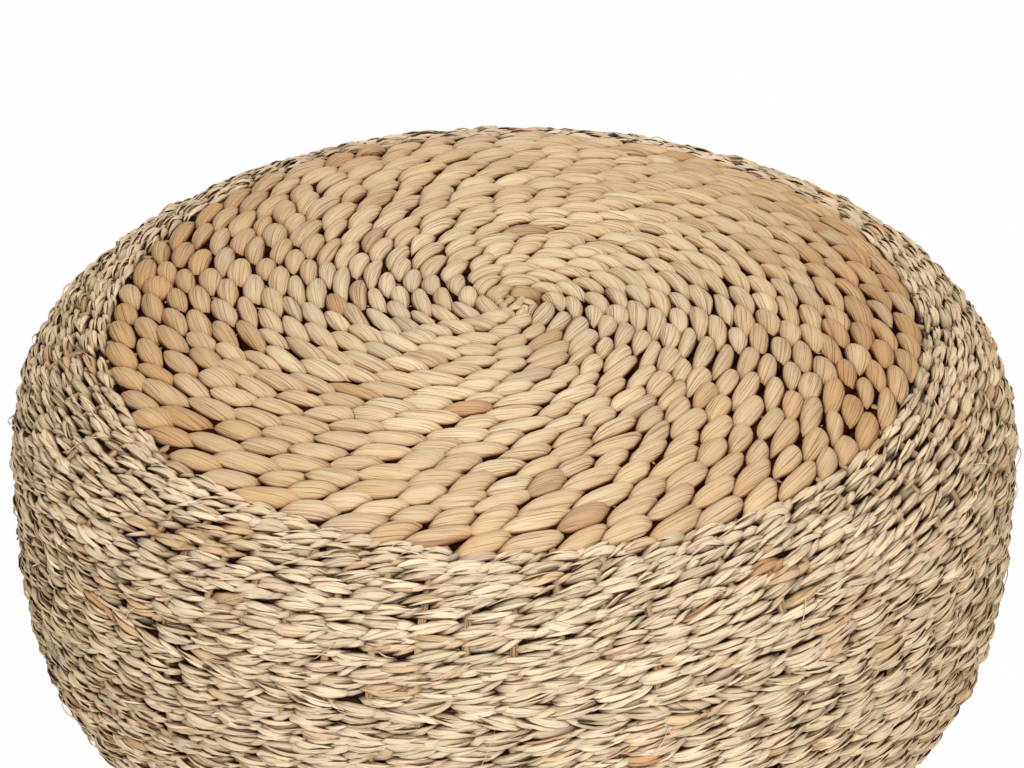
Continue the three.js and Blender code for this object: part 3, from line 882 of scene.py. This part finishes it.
# loose ends and fibres that stand off the weave
stray = {
    "loops": 90, "rise": 0.0017, "root": 0.0006, "sink": 0.0060, "halfWidth": 0.0006, "halfThick": 0.0003,
    "spacing": 0.0085, "rimMargin": 0.004, "footMargin": 0.012, "tilt": 0.004, "tiltJitter": 0.006,
    "bow": 0.0035, "fan": 0.004, "paintedShadeFrom": 0.0019, "sides": 4, "cuts": 7, "seed": 61,
    # turn in degrees and run below the rim: the longer ones that the stool shows at its outline
    "long": [(207, 0.206), (186, 0.075), (-8, 0.100), (-6, 0.122), (224, 0.150)],
}


def makeStray():
    rng = np.random.default_rng(stray["seed"])
    loops = stray["loops"]
    longTurns, longRuns = np.array(stray["long"]).T
    count = loops + len(longTurns)
    turn = np.concatenate([rng.uniform(0, 2 * math.pi, loops), np.radians(longTurns)])
    lowest = footRun - rimRun - stray["footMargin"]
    run = rimRun + np.concatenate([rng.uniform(stray["rimMargin"], lowest, loops), longRuns])
    longer = np.concatenate([rng.uniform(0.5, 1.1, loops), np.full(len(longTurns), 1.7)])
    lay = {
        "run": run, "turn": turn, "ringRadius": radiusAt(skin, run), "spacing": stray["spacing"] * longer,
        "reachShare": 1.0, "width": stray["halfWidth"], "thick": stray["halfThick"],
        "depth": -stray["rise"] * longer + stray["root"], "drop": stray["sink"] * longer, "dive": 2.0,
        "tip": 0.5, "fullness": 2.0, "tilt": rng.normal(stray["tilt"], stray["tiltJitter"], count),
        "bow": rng.normal(0, stray["bow"], count), "fan": rng.normal(0, stray["fan"], count),
        "roll": rng.normal(0, 0.6, count), "spin": rng.normal(0, 1.0, count),
        **patternShift(rng, count),
    }
    shape, faces = strandBlank(stray["sides"], stray["cuts"])
    points, uv, depth, (a, b) = layStrands(shape, skin, lay)
    # painted shade: a fibre darkens where it dips down into the weave
    wear = np.clip((depth - stray["paintedShadeFrom"]) / seagrass["paintedShadeSpan"], 0, 1)
    marks = {"tint": bladeTints(count, rng)[:, None, :], "wear": wear}
    fibres = meshObject("strayFibres", points, faces, uv, marks)
    ride(fibres, seagrassMaterial, "seagrass", [])
    print("stray fibres:", count)


makeStray()

# warp cords
warp = {
    "radius": 0.0024, "topDepth": 0.0078, "sideDepth": 0.0054, "fadeSpan": 0.04, "crossPitch": 0.0062,
    "underCount": 5, "overCount": 4, "step": 0.005,
    "underDepth": 0.0178, "overDepth": 0.0124,       # of the two crossed groups, below the crown
    "crossMargin": 0.005, "armStart": 0.040, "crossPoints": 5,
    "tail": 0.030, "tailStart": 0.004, "tailHeight": 0.0085, "tailPoints": 5,
    # hairpins: share of the rim's radius where the two arms part, and the loop inside it
    "innerShare": 0.49, "outerShare": 0.72, "setback": 0.025, "loopRise": 0.012, "loopDepth": 0.0165,
    "loopSpan": 0.9, "loopPoints": 9,
    # the cords' own straw, set darker than the blades' partly as painted shade, since they lie deep in the
    # weave
    "tone": (172, 144, 106), "sides": 8, "strands": 3, "lobe": 0.16, "twist": 26.0,
}
lookOut = 1e-4               # a short way out, to find which way a surface faces


def warpArmLine(planAngle, firstRadius):
    runs = np.arange(float(runAtRadius(firstRadius)), footRun, warp["step"])
    fade = overRim(runs, warp["fadeSpan"])
    depth = warp["topDepth"] * (1 - fade) + warp["sideDepth"] * fade
    line = onSkin(skin, runs, planAngle, depth)
    out = onSkin(skin, runs, planAngle, depth - lookOut) - line
    flat = footRadius - np.linspace(warp["tailStart"], warp["tail"], warp["tailPoints"])
    height = np.full_like(flat, warp["tailHeight"])
    tail = np.stack([flat * math.cos(planAngle), flat * math.sin(planAngle), height], -1)
    down = np.tile([0, 0, -lookOut], (len(flat), 1))
    return np.concatenate([line, tail]), np.concatenate([out, down])


def unit(vectors):
    return vectors / np.linalg.norm(vectors, axis=1)[:, None]


def makeWarp(words, number, seed, line, out):
    rng = np.random.default_rng(seed + number)
    along = unit(np.gradient(line, axis=0))
    side = unit(np.cross(unit(out), along))
    out = np.cross(along, side)
    run = np.concatenate([[0], np.cumsum(np.linalg.norm(np.diff(line, axis=0), axis=1))])
    sides = warp["sides"]
    angle = np.arange(sides) * 2 * math.pi / sides
    strands = warp["strands"]
    lobes = warp["lobe"] * np.cos(strands * angle[None, :] + warp["twist"] * strands * run[:, None])
    lobes = warp["radius"] * (1 + lobes)
    ring = (line[:, None, :] + (lobes * np.cos(angle))[..., None] * side[:, None, :]
            + (lobes * np.sin(angle))[..., None] * out[:, None, :])
    points = ring.reshape(1, -1, 3)
    faces = []
    for i in range(len(line) - 1):
        for k in range(sides):
            j = (k + 1) % sides
            faces.append([i * sides + k, i * sides + j, (i + 1) * sides + j, (i + 1) * sides + k])
    faces.append(list(range(sides))[::-1])
    faces.append([(len(line) - 1) * sides + k for k in range(sides)])
    acrossMap = np.abs(((angle + math.pi / 2) % (2 * math.pi)) - math.pi) * warp["radius"]
    uv = np.stack(np.broadcast_arrays(run[:, None] + rng.uniform(0, 9), acrossMap), -1).reshape(1, -1, 2)
    tint = (linear(warp["tone"]) * rng.normal(1, 0.06))[None, None, :]
    # painted shade: the cord darkens from its flanks to the side that faces into the stool
    wear = np.tile(np.clip(0.3 - np.sin(angle), 0, 1), len(line))
    name = "warp" + "".join(word.title() for word in words) + str(number + 1)
    piece = meshObject(name, points, faces, uv, {"tint": tint, "wear": wear})
    deselectAll()
    piece.select_set(True)
    bpy.context.view_layer.objects.active = piece
    bpy.ops.object.mode_set(mode="EDIT")
    faceOutward()
    ride(piece, warpMaterial, "warp_cord", ["_".join(["warp", *words, str(number + 1)])])


def joined(armA, middle, armB):
    lineA, outA = armA
    lineB, outB = armB
    up = np.tile([0, 0, lookOut], (len(middle), 1))
    return np.concatenate([lineA[::-1], middle, lineB]), np.concatenate([outA[::-1], up, outB])


def makeWarps():
    total = warp["underCount"] + warp["overCount"]
    armStep = math.pi / total
    for group, count, crossed, turn, depth in (
            ("under", warp["underCount"], warp["overCount"], 0.0, warp["underDepth"]),
            ("over", warp["overCount"], warp["underCount"], math.pi / 2, warp["overDepth"])):
        for number in range(count):
            rank = number - (count - 1) / 2
            aside = rank * warp["crossPitch"]
            reach = (crossed - 1) * warp["crossPitch"] / 2 + warp["crossMargin"]
            xs = np.linspace(reach, -reach, warp["crossPoints"])
            middle = np.stack([
                xs * math.cos(turn) - aside * math.sin(turn),
                xs * math.sin(turn) + aside * math.cos(turn),
                np.full_like(xs, form["bellyHeight"] + form["topRise"] - depth)], -1)
            near = warpArmLine(turn + rank * armStep, warp["armStart"])
            far = warpArmLine(turn + math.pi - rank * armStep, warp["armStart"])
            makeWarp(("long", group), number, 100, *joined(near, middle, far))

    for group, count, rimShare, seed in (
            ("inner", total, warp["innerShare"], 200), ("outer", 2 * total, warp["outerShare"], 300)):
        radius = rimShare * form["rimRadius"]
        halfAngle = armStep * total / count / 2
        shares = np.linspace(warp["loopSpan"], -warp["loopSpan"], warp["loopPoints"])
        runs = runAtRadius(radius - warp["setback"] + warp["loopRise"] * np.abs(shares) ** 3)
        for number in range(count):
            planAngle = 2 * number * armStep * total / count
            middle = onSkin(skin, runs, planAngle + shares * halfAngle, warp["loopDepth"])
            near, far = (warpArmLine(planAngle + side * halfAngle, radius) for side in (1, -1))
            makeWarp((group, "hairpin"), number, seed, *joined(near, middle, far))


makeWarps()
print("warp cords made")

# lining and stuffing
lining = {
    "tone": (0.28, 0.24, 0.25, 1), "topDepth": 0.0205, "sideDepth": 0.0088, "fadeSpan": 0.05,
    "floorDepth": 0.0118,
    "bulge": 0.0012, "bulges": 72,               # one between each two warp cords
    "columns": 216, "rows": 90,
}
stuffing = {
    "waddingTone": (0.84, 0.84, 0.81, 1), "foamTone": (0.80, 0.72, 0.46, 1),
    "waddingDepth": 0.0182, "waddingThick": 0.012, "crownDepth": 0.0235, "wallDepth": 0.0128, "slabs": 3,
    "ringRadius": 0.24, "ringTube": 0.05,        # of the ring that the side's wadding starts from
}


def clothMaterial(name, tone, threads, height, roughness):
    material, tree, link, shader = skinMaterial(name, roughness)
    place = tree.nodes.new("ShaderNodeTexCoord")
    waves = [addNode(tree, "ShaderNodeTexWave", Scale=threads, Distortion=0.8, bands_direction=axis)
             for axis in ("X", "Y", "Z")]
    soft = addNode(tree, "ShaderNodeTexNoise", Scale=30.0, Detail=5.0)
    for node in waves + [soft]:
        link(place.outputs["Object"], node.inputs["Vector"])
    woven = combined(tree, "ADD", [wave.outputs["Fac"] for wave in waves])
    shade = addNode(tree, "ShaderNodeMix", data_type="RGBA")
    link(soft.outputs["Fac"], shade.inputs[0])
    shade.inputs[6].default_value = [0.75 * v for v in tone[:3]] + [1]
    shade.inputs[7].default_value = [min(1, 1.2 * v) for v in tone[:3]] + [1]
    link(shade.outputs[2], shader.inputs["Base Color"])
    addRelief(tree, shader, (soft.outputs["Fac"], 0.8, 4 * height), (woven, 0.6, height))
    return material


def shapeSoft(name, place, material, slotName, nodes, fill):
    # moves every point of the fresh primitive to where place puts it, as one closed soft form
    piece = bpy.context.active_object
    piece.name = name
    piece.data.name = name
    co = np.zeros(len(piece.data.vertices) * 3, np.float32)
    piece.data.vertices.foreach_get("co", co)
    radius, turn, height = place(co.reshape(-1, 3).astype(float))
    placed = np.stack([radius * np.cos(turn), radius * np.sin(turn), height], -1)
    piece.data.vertices.foreach_set("co", placed.reshape(-1).astype(np.float32))
    bpy.ops.object.shade_smooth()
    piece.data.update()
    ride(piece, material, slotName, nodes)


def softBall(name, columns, rows, place, *rest):
    # place takes the share of the way from the top of the ball to its foot, and the turn
    deselectAll()
    bpy.ops.mesh.primitive_uv_sphere_add(segments=columns, ring_count=rows, radius=1)

    def byShare(co):
        return place(np.arccos(np.clip(co[:, 2], -1, 1)) / math.pi, np.arctan2(co[:, 1], co[:, 0]))
    shapeSoft(name, byShare, *rest)


def bagPlace(share, turn):
    # share runs from the crown (0) over the side to the middle of the base (1)
    run = share * (footRun + footRadius)
    side = overRim(run, lining["fadeSpan"])
    depth = lining["topDepth"] * (1 - side) + lining["sideDepth"] * side
    bulge = lining["bulge"] * (0.5 - 0.5 * np.cos(lining["bulges"] * turn)) * side
    onTop = onSkin(skin, np.minimum(run, footRun), 0 * turn, depth - bulge)
    inner = np.clip(footRun + footRadius - run, 0, footRadius)
    below = run > footRun
    return np.where(below, inner, onTop[:, 0]), turn, np.where(below, lining["floorDepth"], onTop[:, 2])


liningMaterial = clothMaterial("liningCloth", lining["tone"], 900, 0.00005, 0.95)
waddingMaterial = clothMaterial("waddingFleece", stuffing["waddingTone"], 160, 0.0012, 0.95)
foamMaterial = clothMaterial("foamBlock", stuffing["foamTone"], 420, 0.0004, 0.9)
softBall("liningBag", lining["columns"], lining["rows"], bagPlace, liningMaterial, "lining_cloth",
         ["bag_top_cloth", "bag_side_cloth", "bag_base_cloth"], 0.9)


def padBox(node):
    # radius, middle height and half height of a node's box
    low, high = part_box(node)
    return (high.x - low.x) / 2, (high.z + low.z) / 2, (high.z - low.z) / 2


def makePad(name, node, material, slotName, crownShare, fill, follow=None):
    # a round pad that fills the box of the node that it stands for; follow is its depth below the form
    radius, middle, half = padBox(node)

    def place(share, turn):
        latitude = (0.5 - share) * math.pi
        across = np.cos(latitude) ** 0.28
        rise = power(np.sin(latitude), 0.32)
        height = middle + half * rise * np.where(rise > 0, 1 - crownShare * across ** 2, 1)
        if follow:
            top = onSkin(skin, runAtRadius(radius * across), turn, follow)[:, 2]
            height = np.where(rise > 0, np.minimum(height, top), height)
        # the wall curves in towards the foot, and the pad stays inside the lining there
        return np.minimum(radius * across, wallRadiusAt(height, stuffing["wallDepth"])), turn, height
    softBall(name, 96, 32, place, material, slotName, [node], fill)


def makeSideRing(name, node):
    middle, half = padBox(node)[1:]
    deselectAll()
    bpy.ops.mesh.primitive_torus_add(
        major_segments=96, minor_segments=28, major_radius=stuffing["ringRadius"],
        minor_radius=stuffing["ringTube"])

    def place(co):
        tube = np.arctan2(co[:, 2], np.hypot(co[:, 0], co[:, 1]) - stuffing["ringRadius"])
        height = middle + half * power(np.sin(tube), 0.7)
        thick = stuffing["waddingThick"] / 2
        radius = wallRadiusAt(height, 0) - stuffing["waddingDepth"] - thick + thick * power(np.cos(tube), 0.6)
        return radius, np.arctan2(co[:, 1], co[:, 0]), height
    shapeSoft(name, place, waddingMaterial, "wadding", [node], 0.5)


makePad("waddingTop", "wadding_top", waddingMaterial, "wadding", 0.12, 0.6, stuffing["crownDepth"])
makeSideRing("waddingSide", "wadding_side")
for slab in range(stuffing["slabs"]):
    makePad("foamSlab%d" % (slab + 1), "foam_slab_%d" % (slab + 1), foamMaterial, "foam", 0.0, 1.0)
print("lining made")
